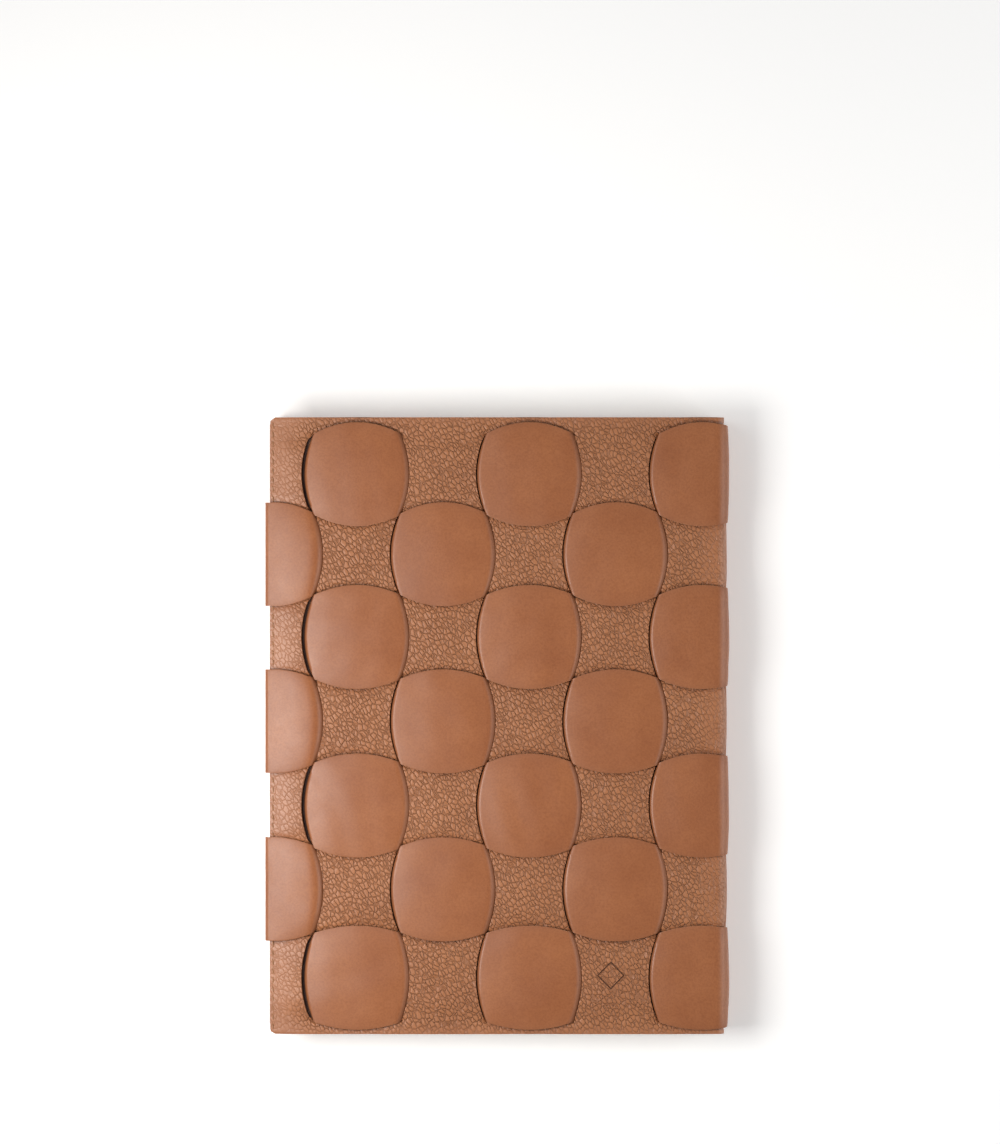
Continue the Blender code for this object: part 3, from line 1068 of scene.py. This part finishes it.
@dataclass(frozen=True)
class LacedStrips:
    """The smooth strips of one half, each with its tiles, its dives and its wrapped end."""

    weave: Weave
    path: FoldPath
    thickness: float = 0.8 * MM
    edge_soften: float = 0.28 * MM
    over: float = 1.05 * MM
    under: float = -1.35 * MM
    crown: float = 1.0 * MM
    crest: float = 0.25  # where the last tile is highest, as a share of its length
    steep: tuple[float, float] = (-0.45 * MM, 0.3 * MM)
    gentle: tuple[float, float] = (-2.1 * MM, 2.1 * MM)
    lap: float = 3.0 * MM  # how far a strip runs on past the mid-spine slit
    tuck: float = 9.0 * MM
    inset: float = 5.0 * MM
    front_reach: float = 1.1 * MM
    back_reach: float = 0.45 * MM  # the back's wraps are pulled tighter

    def dived(self, past: Array, steep: bool) -> Array:
        """Share of the dive done at a distance past the slit line."""
        return smooth(past, *(self.steep if steep else self.gentle))

    def span_sheet(
        self, row: int, span: int, lane: float, cross: Array
    ) -> tuple[Array, Array, Array]:
        """Lays out one span of a strip.

        Args:
            row: Strip.
            span: Span between two slit columns.
            lane: Place of the strip along the fold.
            cross: Shares across the strip, from -1 to 1.

        Returns:
            Distances across, distances along and heights, in lines and columns.
        """
        weave = self.weave
        outside = weave.outside(row, span)
        low = weave.slit_line(row, span, cross)
        last = span == weave.slits_across
        pitch = weave.lines[span + 1] - weave.lines[span]
        if last:
            stop = weave.layout.cover_end + (0.26 * MM if outside else -self.inset)
            high = np.full_like(cross, stop)
        else:
            high = weave.slit_line(row, span + 1, cross)
        start = self.lap + 0.3 * MM if span == 0 and not outside else 0
        steps = graded(15 * MM if last else 30 * MM, 0.22 * MM, 1.0 * MM)
        across = (low + start)[:, None] + (high - low - start)[:, None] * steps[None, :]
        nominal = steps * (high.mean() - low.mean()) / pitch if last else steps
        near = across - low[:, None]
        far = high[:, None] - across if not last else np.full_like(across, 1.0)
        if outside:
            gone = np.maximum(self.dived(-near, False), self.dived(-far, True))
            half = weave.half_width(row, nominal)
        else:
            gone = np.minimum(self.dived(near, True), self.dived(far, False))
            half = np.full_like(nominal, weave.strip_half(row))
        flank = 1 - np.abs(2 * nominal - 1) ** 2
        if last:
            before, after = 1 - steps / self.crest, (steps - self.crest) / (1 - self.crest)
            flank = 1 - np.where(steps < self.crest, before, after) ** 2
        shoulder = 1 - 0.7 * np.abs(cross) ** 2.6
        top = self.over + self.crown * flank[None, :] * shoulder[:, None]
        height = top + (self.under - top) * gone
        along = lane + cross[:, None] * half[None, :]
        return across, along, height

    def wrap(
        self, last: tuple[Array, Array, Array], row: int, lane: float, cross: Array
    ) -> tuple[Array, Array, Array]:
        """The end of a strip, round the fore-edge and tucked under the panel.

        Args:
            last: The layout of the strip's last span.
            row: Strip.
            lane: Place of the strip along the fold.
            cross: Shares across the strip.

        Returns:
            Distances across, distances along and heights, in lines and columns.
        """
        across, along, height = (part[:, -1] for part in last)
        turns = np.radians(np.linspace(80, -90, 15)[1:])
        middle, half = (height + self.under) / 2, (height - self.under) / 2
        reach = self.front_reach if self.weave.side is Side.FRONT else self.back_reach
        round_across = across[:, None] + reach * np.cos(turns)[None, :]
        round_height = middle[:, None] + half[:, None] * np.sin(turns)[None, :]
        tail = np.linspace(0, 1, 8)[1:]
        end = self.weave.layout.cover_end - self.tuck
        tail_across = across[:, None] + (end - across)[:, None] * tail[None, :]
        tail_height = np.full_like(tail_across, self.under)
        turned = np.concatenate([np.linspace(0, 0.8, len(turns)), np.linspace(0.8, 1, len(tail))])
        full = (along - lane)[-1]
        width = full + (self.weave.strip_half(row) - full) * smooth(turned, 0.3, 1)
        return (
            np.concatenate([round_across, tail_across], axis=1),
            lane + cross[:, None] * width[None, :],
            np.concatenate([round_height, tail_height], axis=1),
        )

    def lead_in(self, row: int, lane: float, cross: Array) -> tuple[Array, Array, Array]:
        """The stretch of a strip that has dived through the mid-spine slit.

        Args:
            row: Strip.
            lane: Place of the strip along the fold.
            cross: Shares across the strip.

        Returns:
            Distances across, distances along and heights, in lines and columns.
        """
        back = np.array([1.0, 0.6, 0.42, 0.3, 0.22, 0.14, 0.07]) * self.lap
        line = self.weave.slit_line(row, 0, cross)
        across = line[:, None] - back[None, :]
        height = self.over + (self.under - self.over) * self.dived(back, False)[None, :]
        half = self.weave.strip_half(row)
        along = lane + cross[:, None] * half * np.ones_like(back)[None, :]
        return across, along, np.broadcast_to(height, across.shape)

    def strip(
        self, row: int, hide: bpy.types.Material, edge: bpy.types.Material
    ) -> bpy.types.Object:
        """Builds one strip of the half.

        Args:
            row: Strip, from 0 at the head.
            hide: Finish of its face.
            edge: Finish of its cut edges.

        Returns:
            The piece.
        """
        weave = self.weave
        lane = weave.layout.lanes[row]
        led, wrapped = weave.outside(row, 0), weave.outside(row, weave.slits_across)
        cross = 2 * graded(28 * MM, 0.3 * MM, 1.2 * MM) - 1
        parts = [self.span_sheet(row, span, lane, cross) for span in range(weave.slits_across + 1)]
        skips = [0] + [1] * weave.slits_across  # neighbouring spans share a column
        if led:
            parts.insert(0, self.lead_in(row, lane, cross))
            skips.insert(0, 0)
        if wrapped:
            parts.append(self.wrap(parts[-1], row, lane, cross))
            skips.append(0)
        across, along, height = (
            np.concatenate([part[kind][:, skip:] for part, skip in zip(parts, skips)], axis=1)
            for kind in range(3)
        )
        random = np.random.default_rng(SEED + 100 * row)
        along = along + random.uniform(-0.25, 0.25) * MM
        edge_wear = np.abs(cross[:, None] * np.ones_like(across)) ** 14
        # Painted shade: darker where the strip dives under the panel, and darkest where it lies
        # below the panel's face in a slit.
        dive_shade = smooth(self.over - height, -0.05 * MM, 0.5 * MM)
        recess = smooth(-height, -0.1 * MM, 0.8 * MM)
        height = height + 0.06 * MM * ripple(across, along, 17 * MM, 20 + row)
        if wrapped:
            columns = parts[-1][0].shape[1]
            recess[:, -columns:] = 0
            dive_shade[:, -columns:] = 0
        # Between the panel and the lining there is only room to follow half of the droop.
        height = height - weave.layout.droop(across) * (1 - 0.5 * smooth(-height, 0, MM))
        name = f"strip_{row + 1}_{weave.side.word}_laced"
        piece = grid_piece(name, self.path.place(across, along, height))
        # Worn edges plus painted shade on the dives.
        paint(piece, "smoothing", np.clip(0.3 * edge_wear + 0.8 * dive_shade, 0, 1))
        paint(piece, "recess", recess)
        thicken(piece, hide, edge, self.thickness, self.edge_soften)
        self.path.bend(piece)
        nodes = [f"strip_{row + 1}_{weave.side.word}"]
        if led:
            nodes.append(f"strip_{row + 1}_spine")
        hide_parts(*nodes)
        return piece

    def build(self, hide: bpy.types.Material, edge: bpy.types.Material) -> list[bpy.types.Object]:
        """Builds every strip of the half.

        Args:
            hide: Finish of their faces.
            edge: Finish of their cut edges.

        Returns:
            The pieces, head to tail.
        """
        return [self.strip(row, hide, edge) for row in range(len(self.weave.layout.lanes))]


@dataclass(frozen=True)
class Lining:
    """Half of the suede lining, which closes up to the panel round its edges."""

    weave: Weave
    path: FoldPath
    thickness: float = 0.6 * MM
    inset: float = 0.35 * MM
    rise: float = 1.62 * MM  # less the leather's droop
    sink: float = 0.35 * MM  # room for the ends of the strips that wrap the edge
    corner: float = 1.6 * MM
    rim: float = 8 * MM  # how far in from its edges its lines are close together
    beside_wrap: tuple[float, float] = (17.6 * MM, 20.5 * MM)  # where it rises beside a wrap
    edge_soften: float = 0.12 * MM

    def lift(self, across: Array, along: Array) -> Array:
        """How far the lining rises to meet the panel.

        Args:
            across: Distances from the fold axis.
            along: Distances along the fold.

        Returns:
            Heights above the lining's own level.
        """
        layout, weave = self.weave.layout, self.weave
        ends = smooth(np.abs(along), layout.half_height - 5.0 * MM, layout.half_height - 2.4 * MM)
        wrapped = np.zeros_like(along)
        for row, lane in enumerate(layout.lanes):
            if weave.outside(row, weave.slits_across):
                near = 1 - smooth(np.abs(along - lane), *self.beside_wrap)
                wrapped = np.maximum(wrapped, near)
        edge = smooth(across, layout.cover_end - 4.6 * MM, layout.cover_end - 2.2 * MM)
        share = np.maximum(ends * (1 - edge * wrapped), edge * (1 - wrapped))
        return (self.rise - layout.droop(across)) * share - self.sink * edge * wrapped

    def sheet(self, columns: Array, rim_lines: int) -> tuple[Array, Array, Array]:
        """Lays out a sheet as high as the lining.

        Args:
            columns: Distances across, ending at the fore-edge.
            rim_lines: Lines in the rim at the head, and at the tail.

        Returns:
            Distances across, distances along, and how far to move points across so that the
            corners at the fore-edge are rounded.
        """
        half, end = self.weave.layout.half_height - self.inset, columns[-1]
        inner = np.linspace(-(half - self.rim), half - self.rim, 150)
        outer = np.linspace(half - self.rim, half, rim_lines + 1)[1:]
        across, along = np.meshgrid(columns, np.concatenate([-outer[::-1], inner, outer]))
        into = np.clip(np.abs(along) - (half - self.corner), 0, self.corner)
        squeeze = np.sqrt(self.corner**2 - into**2) - self.corner
        return across, along, squeeze * smooth(across, end - self.rim, end)

    def build(self, suede: bpy.types.Material, edge: bpy.types.Material) -> bpy.types.Object:
        """Builds the half lining.

        Args:
            suede: Finish of its face.
            edge: Finish of its cut edges.

        Returns:
            The piece.
        """
        layout = self.weave.layout
        end = layout.cover_end - self.path.depth - self.inset
        start = self.path.spine_middle
        bent = 4 * MM  # how far from the fold its columns stay close together
        columns = np.concatenate(
            [
                np.linspace(start, bent, 26),
                np.linspace(bent, end - self.rim, 60)[1:],
                np.linspace(end - self.rim, end, 18)[1:],
            ]
        )
        across, along, squeeze = self.sheet(columns, 13)
        across = across + squeeze
        lifts = self.lift(across + self.path.depth, along)
        lifts = lifts + 0.05 * MM * ripple(across, along, 22 * MM, 50)
        word = self.weave.side.word
        piece = grid_piece(f"{word}_lining_suede", self.path.place(across, along, lifts))
        thicken(piece, suede, edge, self.thickness, self.edge_soften)
        self.path.bend(piece, 2.4 * MM)
        nodes = [f"{word}_lining"]
        if self.weave.side is Side.FRONT:
            nodes.append("spine_lining")
        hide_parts(*nodes)
        return piece


@dataclass(frozen=True)
class Sleeve:
    """The pocket at the fore-edge that a cover of the refill is tucked into."""

    lining: Lining
    width: float = 62.0 * MM
    thickness: float = 0.6 * MM
    over_card: float = 4.1 * MM
    seam: float = 2.4 * MM
    slope: float = 1.6 * MM
    edge_soften: float = 0.14 * MM

    def build(self, hide: bpy.types.Material, edge: bpy.types.Material) -> bpy.types.Object:
        """Builds the sleeve.

        Args:
            hide: Finish of its face.
            edge: Finish of its cut edges.

        Returns:
            The piece.
        """
        layout, side = self.lining.weave.layout, self.lining.weave.side
        end = layout.cover_end - self.lining.inset
        half = layout.half_height - self.lining.inset
        flat = np.linspace(end - self.width, end - self.lining.rim, 34)
        rim = np.linspace(end - self.lining.rim, end, 20)[1:]
        across, along, squeeze = self.lining.sheet(np.concatenate([flat, rim]), 15)
        onto = np.maximum(
            smooth(across, end - self.seam - self.slope, end - self.seam),
            smooth(np.abs(along), half - self.seam - self.slope, half - self.seam),
        )
        lining_level = -self.lining.path.depth + self.lining.lift(across, along)
        seat = lining_level - self.thickness - 0.04 * MM
        mouth = 0.1 * MM * (1 - smooth(across, end - self.width, end - self.width + 9 * MM))
        level = seat * onto + (-self.over_card - mouth) * (1 - onto)
        path = FoldPath(layout, side, 0.0, 2.0 * MM)
        piece = grid_piece(f"{side.word}_sleeve_sewn", path.place(across + squeeze, along, level))
        paint(piece, "smoothing", np.full(across.shape, 0.35))
        thicken(piece, hide, edge, self.thickness, self.edge_soften)
        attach(piece, side.body)
        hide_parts(f"{side.word}_sleeve")
        return piece


@dataclass(frozen=True)
class EdgeStitching:
    """The row of lockstitches along a cover's fore-edge."""

    panel: WovenPanel
    sleeve: Sleeve
    pitch: float = 3.2 * MM
    from_edge: float = 1.0 * MM
    stitch: tuple[float, float, float] = (0.24 * MM, 1.2 * MM, 0.2 * MM)
    end_margin: float = 2.6 * MM

    def row(self, name: str, places: Array, thread: bpy.types.Material) -> bpy.types.Object:
        """One side's stitches, joined.

        Args:
            name: Piece name.
            places: Centre of each stitch.
            thread: Finish.

        Returns:
            The piece.
        """
        bpy.ops.object.select_all(action="DESELECT")
        bpy.ops.mesh.primitive_uv_sphere_add(segments=8, ring_count=6, radius=1)
        one = bpy.context.object
        one.scale = self.stitch
        one.rotation_euler = (0, 0, math.radians(7))
        settle(one)
        copies = []
        for place in places:
            copy = one.copy()
            copy.data = one.data.copy()
            copy.location = place
            bpy.context.scene.collection.objects.link(copy)
            copies.append(copy)
        bpy.ops.object.select_all(action="DESELECT")
        for copy in copies:
            copy.select_set(True)
        bpy.context.view_layer.objects.active = copies[0]
        bpy.ops.object.join()
        joined = bpy.context.object
        joined.name = joined.data.name = name
        bpy.data.objects.remove(one)
        settle(joined)
        bpy.ops.object.shade_smooth()
        joined.data.materials.clear()
        joined.data.materials.append(thread)
        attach(joined, self.panel.weave.side.body)
        return joined

    def build(self, thread: bpy.types.Material) -> list[bpy.types.Object]:
        """Builds the stitches outside on the panel and inside on the sleeve.

        Args:
            thread: Finish of the thread.

        Returns:
            The two pieces.
        """
        weave = self.panel.weave
        layout, word, path = weave.layout, weave.side.word, self.panel.path
        reach = layout.half_height - self.end_margin
        count = int(2 * reach / self.pitch)
        along = (np.arange(count + 1) - count / 2) * self.pitch
        across = np.full_like(along, layout.cover_end - self.from_edge)
        top = self.panel.thickness / 2 + 0.05 * MM - layout.droop(across)
        lanes = enumerate(layout.lanes)
        wrapped = [lane for row, lane in lanes if weave.outside(row, weave.slits_across)]
        # No stitch shows where a strip wraps the edge.
        clear = np.all(np.abs(along[:, None] - wrapped) >= weave.tile_half, axis=1)
        outside = path.place(across, along, top)[clear]
        lining = self.sleeve.lining
        lining_level = -lining.path.depth + lining.lift(across, along)
        seat = lining_level - 1.5 * self.sleeve.thickness - 0.06 * MM
        return [
            self.row(f"{word}_edge_stitches", outside, thread),
            self.row(f"{word}_sleeve_stitches", path.place(across, along, seat), thread),
        ]


@dataclass(frozen=True)
class PageBlock:
    """Half of the refill's sewn pages, with sheets a little out of line at their edges."""

    layout: Layout
    upper: bool
    layers: int = 18
    corner: float = 2.5 * MM
    stray: float = 0.09 * MM
    gutter: float = 1.4 * MM
    hinge_gap: float = 0.05 * MM

    def round_gutter(self, piece: bpy.types.Object, spine_x: float, opening: float) -> None:
        """Rounds the pages down into the gutter where they are sewn.

        Args:
            piece: Block of pages.
            spine_x: Place of the spine side.
            opening: Height of the face where the pages open.
        """
        places = np.empty(len(piece.data.vertices) * 3, np.float32)
        piece.data.vertices.foreach_get("co", places)
        places = places.reshape(-1, 3)
        left = np.clip(self.gutter - np.abs(places[:, 2] - opening), 0, self.gutter)
        limit = spine_x - self.hinge_gap - self.gutter + np.sqrt(self.gutter**2 - left**2)
        places[:, 0] = np.minimum(places[:, 0], limit)
        piece.data.vertices.foreach_set("co", places.ravel())
        piece.data.update()

    def build(self, paper: bpy.types.Material) -> bpy.types.Object:
        """Builds the half block.

        Args:
            paper: Finish.

        Returns:
            The piece.
        """
        node = "pages_upper" if self.upper else "pages_lower"
        low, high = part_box(node)
        centre = (low + high) / 2
        opening = self.layout.middle_z
        outer = high.z if self.upper else low.z
        bpy.ops.object.select_all(action="DESELECT")
        bpy.ops.mesh.primitive_plane_add(size=1, location=(centre.x, centre.y, opening))
        piece = bpy.context.object
        piece.name = piece.data.name = f"{node}_sewn"
        piece.scale = (high.x - low.x, high.y - low.y, 1)
        settle(piece)
        corners = [v.index for v in piece.data.vertices if v.co.x < centre.x]
        bpy.ops.object.mode_set(mode="EDIT")
        bpy.ops.mesh.select_mode(type="VERT")
        bpy.ops.mesh.select_all(action="DESELECT")
        bpy.ops.object.mode_set(mode="OBJECT")
        for index in corners:
            piece.data.vertices[index].select = True
        bpy.ops.object.mode_set(mode="EDIT")
        bpy.ops.mesh.bevel(affect="VERTICES", offset=self.corner, segments=6)
        bpy.ops.mesh.select_all(action="SELECT")
        step = (outer - opening) / self.layers
        random = np.random.default_rng(SEED + self.upper)
        size = high - low
        for _ in range(self.layers):
            for share, sense in ((0.15, -1), (0.7, 1), (0.15, -1)):
                rise = (0, 0, step * share)
                bpy.ops.mesh.extrude_region_move(TRANSFORM_OT_translate={"value": rise})
                grow = random.uniform(0.0, self.stray) * sense
                factor = (1 + grow / size.x, 1 + grow / size.y, 1)
                bpy.ops.transform.resize(value=factor, center_override=(high.x, centre.y, opening))
        bpy.ops.mesh.select_all(action="SELECT")
        bpy.ops.mesh.normals_make_consistent(inside=False)
        bpy.ops.object.mode_set(mode="OBJECT")
        self.round_gutter(piece, high.x, opening)
        bpy.ops.object.shade_smooth_by_angle(angle=math.radians(30))
        piece.data.materials.append(paper)
        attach(piece, "turned_pages" if self.upper else "back_cover")
        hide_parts(node)
        return piece


@dataclass(frozen=True)
class Studio:
    """A pale floor, soft light from the left and a camera looking straight down."""

    layout: Layout
    view_height: float = 402.34 * MM  # height of what the camera sees, at the front cover
    view_shift: tuple[float, float] = (0.88 * MM, 54.07 * MM)  # from the front cover's middle
    lens: float = 110.0
    sensor: float = 36.0
    floor_size: float = 6.0
    floor_glow: float = 0.25  # keeps the floor pale where the lights fall off
    surround: float = 0.2
    window_from: tuple[float, float, float] = (-0.6, 0.16, 0.8)
    window_spread: float = math.radians(30)
    window_strength: float = 0.46
    lights: tuple[tuple[str, tuple[float, float, float], float, float, str], ...] = (
        ("key", (-0.21, -0.03, 0.33), 0.2, 1.12, "#FFFCF9"),
        ("head", (-0.1, 0.8, 0.6), 0.6, 0.5, "#FFFFFF"),
        ("fill", (0.65, -0.05, 0.3), 0.5, 2.0, "#FFFFFF"),
    )

    def build(self) -> None:
        """Builds floor, world, lights and camera."""
        self.add_floor()
        self.add_world()
        self.add_window()
        for name, place, size, power, colour in self.lights:
            self.add_light(name, Vector(place), size, power, colour)
        self.add_camera()
        bpy.context.scene.view_settings.view_transform = "Standard"

    def add_floor(self) -> None:
        """Adds the floor that the cover lies on."""
        bpy.ops.object.select_all(action="DESELECT")
        lowest = min(corner[2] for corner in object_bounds())
        bpy.ops.mesh.primitive_plane_add(size=self.floor_size, location=(0, 0, lowest - 0.02 * MM))
        floor = bpy.context.object
        floor.name = "studio_floor"
        material, _ = new_finish(
            "painted_floor_matt",
            {"Base Color": linear("#FAFAF9"), "Emission Color": linear("#FFFFFF"),
             "Emission Strength": self.floor_glow, "IOR": 1.45, "Roughness": 0.9},
        )
        floor.data.materials.append(material)
        floor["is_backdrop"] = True

    def add_world(self) -> None:
        """Adds an even pale surround."""
        world = bpy.data.worlds.new("studio_surround")
        world.use_nodes = True
        tree = world.node_tree
        light = tree.nodes["Background"]
        feed(light, {"Color": linear("#FBFBFB"), "Strength": self.surround})
        # What the camera sees past the floor is paler than what lights the cover.
        seen = add_node(tree, "Background", {"Color": linear("#E6E6E5"), "Strength": 1.0})
        ray = add_node(tree, "LightPath").outputs["Is Camera Ray"]
        both = add_node(tree, "MixShader", {0: ray, 1: light, 2: seen})
        feed(tree.nodes["World Output"], {0: both})
        bpy.context.scene.world = world

    def add_window(self) -> None:
        """Adds a wide, far light from the left, even over the whole floor."""
        light = bpy.data.lights.new("window", "SUN")
        light.energy = self.window_strength
        light.angle = self.window_spread
        self.hang(light, Vector(self.window_from))

    def add_light(self, name: str, place: Vector, size: float, power: float, colour: str) -> None:
        """Adds a soft square light aimed at the cover.

        Args:
            name: Light name.
            place: Where it stands.
            size: Side of the square.
            power: Watts.
            colour: Hex colour.
        """
        light = bpy.data.lights.new(name, "AREA")
        light.size = size
        light.energy = power
        light.color = linear(colour)[:3]
        self.hang(light, place).location = place

    def hang(self, light: bpy.types.Light, place: Vector) -> bpy.types.Object:
        """Puts a light in the scene, shining from a place's direction.

        Args:
            light: Light.
            place: Where it shines from.

        Returns:
            The light's object, not yet moved there.
        """
        lamp = bpy.data.objects.new(light.name, light)
        lamp.rotation_euler = (-place).to_track_quat("-Z", "Y").to_euler()
        bpy.context.scene.collection.objects.link(lamp)
        return lamp

    def add_camera(self) -> None:
        """Adds the camera, straight above, so that the cover lies low in the frame."""
        camera = bpy.data.cameras.new("camera")
        camera.lens = self.lens
        camera.sensor_width = self.sensor
        low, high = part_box("front_panel")
        middle = (low + high) / 2
        distance = self.view_height * self.lens / self.sensor
        stand = bpy.data.objects.new("camera", camera)
        stand.location = (
            middle.x + self.view_shift[0], middle.y + self.view_shift[1], high.z + distance
        )
        bpy.context.scene.collection.objects.link(stand)
        bpy.context.scene.camera = stand


@dataclass
class NotebookCover:
    """The whole object, from its finishes to its last stitch."""

    layout: Layout
    mark_place: tuple[float, float] = (0.0395, -0.0878)

    def finishes(self) -> dict[str, bpy.types.Material]:
        """Builds every finish.

        Returns:
            Materials by use.
        """
        mark_x = self.layout.fold_x - self.mark_place[0]
        return {
            "marked_hide": PebbledLeather(
                name="pebbled_cowhide_marked", mark_place=(mark_x, self.mark_place[1])
            ).build(),
            "hide": PebbledLeather().build(),
            "strip": SmoothLeather().build(),
            # Raw and waxed: paler than the face, as the dye stops at the surface.
            "strip_edge": NoisyFinish(
                "cut_calf_edge", "#DCAA82", "#B98059", (0.5 * MM, 0.5 * MM, 0.3 * MM),
                0.04 * MM, 0.75,
            ).build(),
            # Rubbed down and dyed, so the fibres show as short dark flecks.
            "hide_edge": NoisyFinish(
                "cut_cowhide_edge", "#A06E4C", "#6B4129", (0.5 * MM, 0.5 * MM, 0.3 * MM),
                0.05 * MM, 0.8,
            ).build(),
            # A soft nap that catches light at a low angle.
            "suede": NoisyFinish(
                "suede_split_brushed", "#A97B58", "#7B5437", (0.9 * MM, 0.7 * MM, 0.7 * MM),
                0.08 * MM, 0.95, sheen=0.35,
            ).build(),
            # Pressed flat, with long fibres that give a faint streak.
            "card": NoisyFinish(
                "kraft_card_calendered", "#D8C5A2", "#BDA680", (3.0 * MM, 0.8 * MM, 0.8 * MM),
                0.02 * MM, 0.8,
            ).build(),
            # Wax takes the fuzz off, which leaves a dull glint on each stitch.
            "thread": NoisyFinish(
                "waxed_linen_thread_twisted", "#A9774F", "#7D5234", (0.3 * MM, 0.5 * MM, 0.3 * MM),
                0.05 * MM, 0.6,
            ).build(),
            "paper": RuledPaper(opening=self.layout.middle_z).build(),
        }

    def build_half(self, side: Side, finish: dict[str, bpy.types.Material]) -> None:
        """Builds the leather of one cover and its half of the spine.

        Args:
            side: Which cover.
            finish: Materials by use.
        """
        leather = FoldPath(self.layout, side, depth=0.0, radius=2.0 * MM)
        weave = Weave(self.layout, side, leather.spine_middle)
        panel = WovenPanel(weave, leather)
        hide = finish["marked_hide"] if side is Side.FRONT else finish["hide"]
        report(panel.build(hide, finish["hide_edge"]))
        for strip in LacedStrips(weave, leather).build(finish["strip"], finish["strip_edge"]):
            report(strip)
        lining = Lining(weave, FoldPath(self.layout, side, depth=2.5 * MM, radius=0.8 * MM))
        report(lining.build(finish["suede"], finish["hide_edge"]))
        sleeve = Sleeve(lining)
        report(sleeve.build(finish["hide"], finish["hide_edge"]))
        for stitches in EdgeStitching(panel, sleeve).build(finish["thread"]):
            report(stitches)

    def build(self) -> None:
        """Builds every piece."""
        finish = self.finishes()
        for side in Side:
            self.build_half(side, finish)
        for upper in (True, False):
            report(PageBlock(self.layout, upper).build(finish["paper"]))
        for part in ("front", "spine", "back"):
            card = frame["nodes"][f"refill_{part}_card"]
            card.data.materials.clear()
            card.data.materials.append(finish["card"])


def report(piece: bpy.types.Object) -> None:
    """Logs a finished piece and its size."""
    LOG.info("%s: %d faces", piece.name, len(piece.data.polygons))


def main() -> None:
    """Builds the scene."""
    logging.basicConfig(level=logging.INFO, format="%(message)s")
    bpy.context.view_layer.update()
    NotebookCover(Layout.read()).build()
    Studio(Layout.read()).build()


if __name__ == "__main__":
    main()
